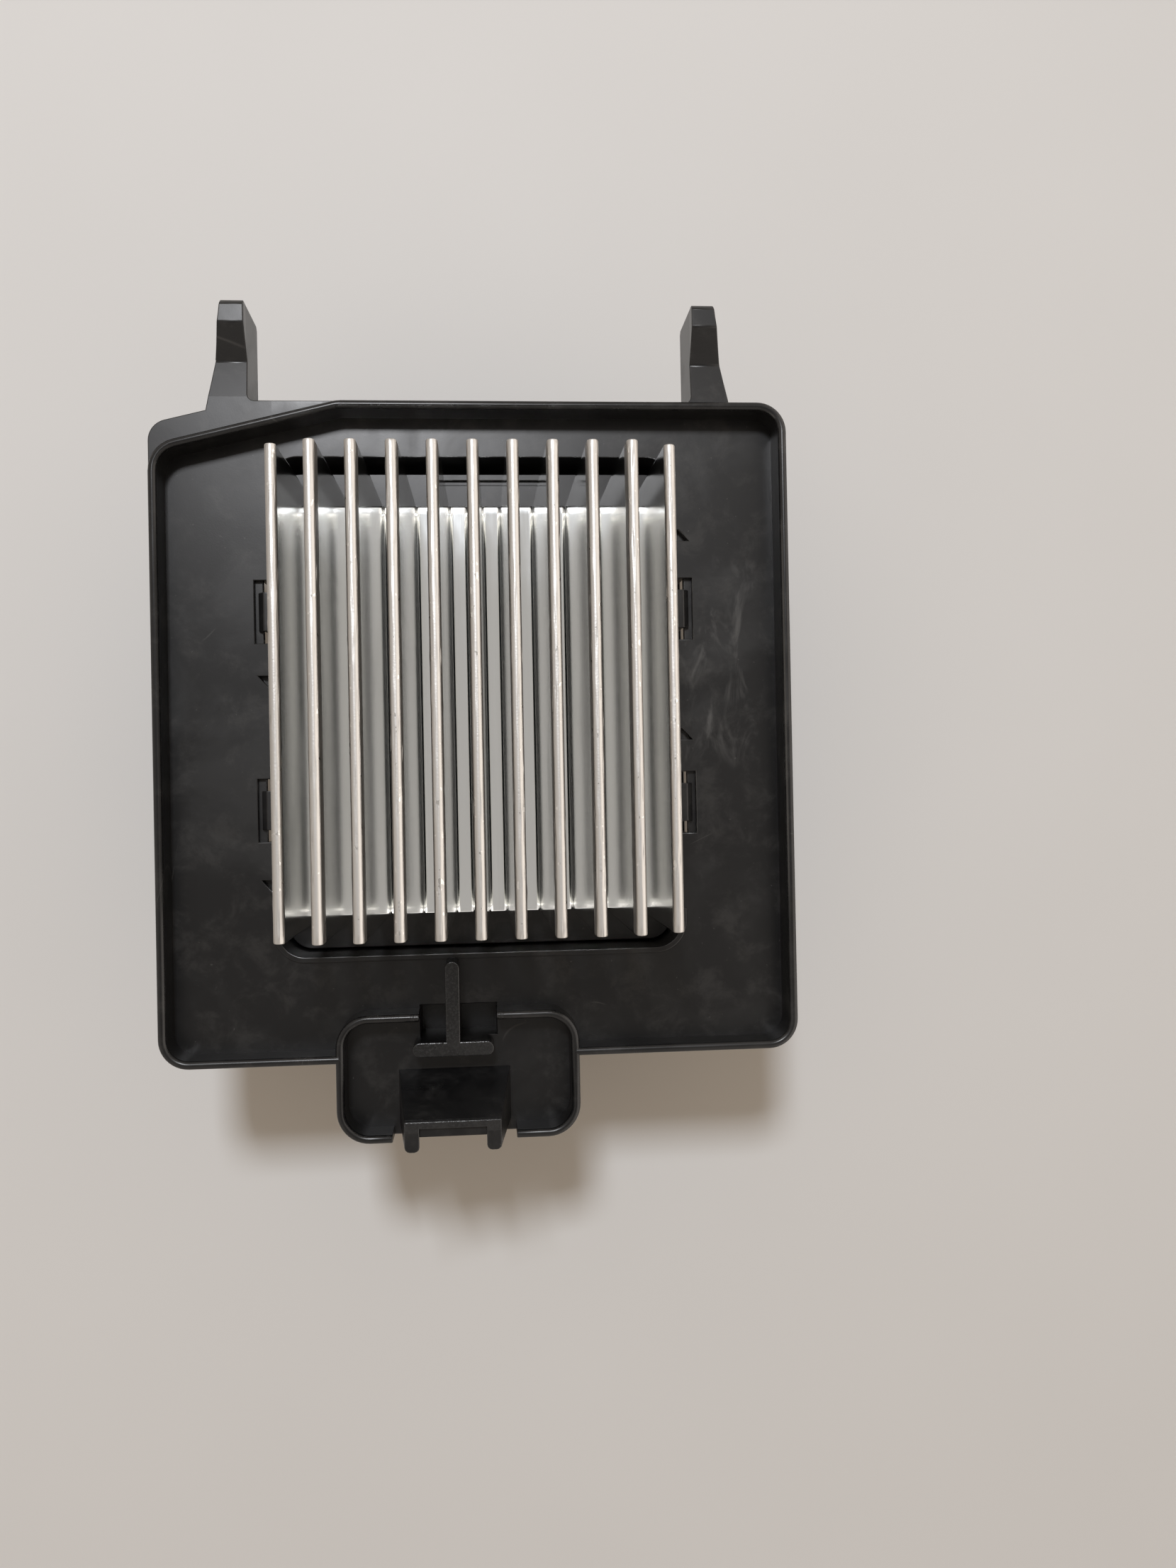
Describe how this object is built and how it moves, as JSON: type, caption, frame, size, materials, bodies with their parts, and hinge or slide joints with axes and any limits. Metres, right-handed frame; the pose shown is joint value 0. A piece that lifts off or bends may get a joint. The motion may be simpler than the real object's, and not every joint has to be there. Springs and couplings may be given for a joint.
{
  "type": "blower motor control module",
  "caption": "Control module for a heater blower: finned aluminium heat sink in a black rimmed plate with two hooks and a latch, on a closed housing with power and signal sockets.",
  "frame": {"origin": "on the flat back, below the centre of the heat sink", "axes": "+Z out of the back towards the fins' tips, +Y towards the two hooks, +X to the right seen from the fins"},
  "size_m": [0.09, 0.1177, 0.0718],
  "materials": {
    "housing_plastic": "matte black moulding with scuffs and pale smudges",
    "fin_aluminium": "bright satin extrusion with drawn lines",
    "connector_plastic": "matte dark grey moulding",
    "board_laminate": "green solder mask, satin",
    "screw_steel": "zinc plated, satin",
    "spring_steel": "rolled spring steel, satin",
    "package_plastic": "matte black epoxy",
    "capacitor_sleeve": "dark blue sleeve, semi-gloss",
    "core_ferrite": "matte dark grey ferrite",
    "winding_copper": "enamelled copper wire, semi-gloss",
    "film_capacitor": "ochre moulded case, satin",
    "shunt_metal": "bare resistance metal, satin",
    "ceramic_body": "fired ceramic, matte",
    "resistor_body": "glazed black film, satin",
    "contact_metal": "tin plated, satin",
    "pad_silicone": "pale grey heat-conducting silicone, matte"
  },
  "bodies": {
    "root": {"front_housing": "housing_plastic", "heat_sink": "fin_aluminium", "rear_housing": "housing_plastic", "back_cover": "housing_plastic", "sink_screws": "screw_steel", "circuit_board": "board_laminate", "board_screws": "screw_steel", "insulating_pad": "pad_silicone", "switching_transistor_1": "package_plastic", "switching_transistor_2": "package_plastic", "flyback_diode": "package_plastic", "clamp_spring": "spring_steel", "clamp_screws": "screw_steel", "bulk_capacitor_1": "capacitor_sleeve", "bulk_capacitor_2": "capacitor_sleeve", "choke_core": "core_ferrite", "choke_winding": "winding_copper", "snubber_capacitor": "film_capacitor", "shunt_resistor": "shunt_metal", "controller_chip": "package_plastic", "gate_driver": "package_plastic", "voltage_regulator": "package_plastic", "suppressor_diode": "package_plastic", "ceramic_capacitors": "ceramic_body", "chip_resistors": "resistor_body", "power_header": "connector_plastic", "power_blades": "contact_metal", "signal_header": "connector_plastic", "signal_pins": "contact_metal"}
  },
  "joints": []
}
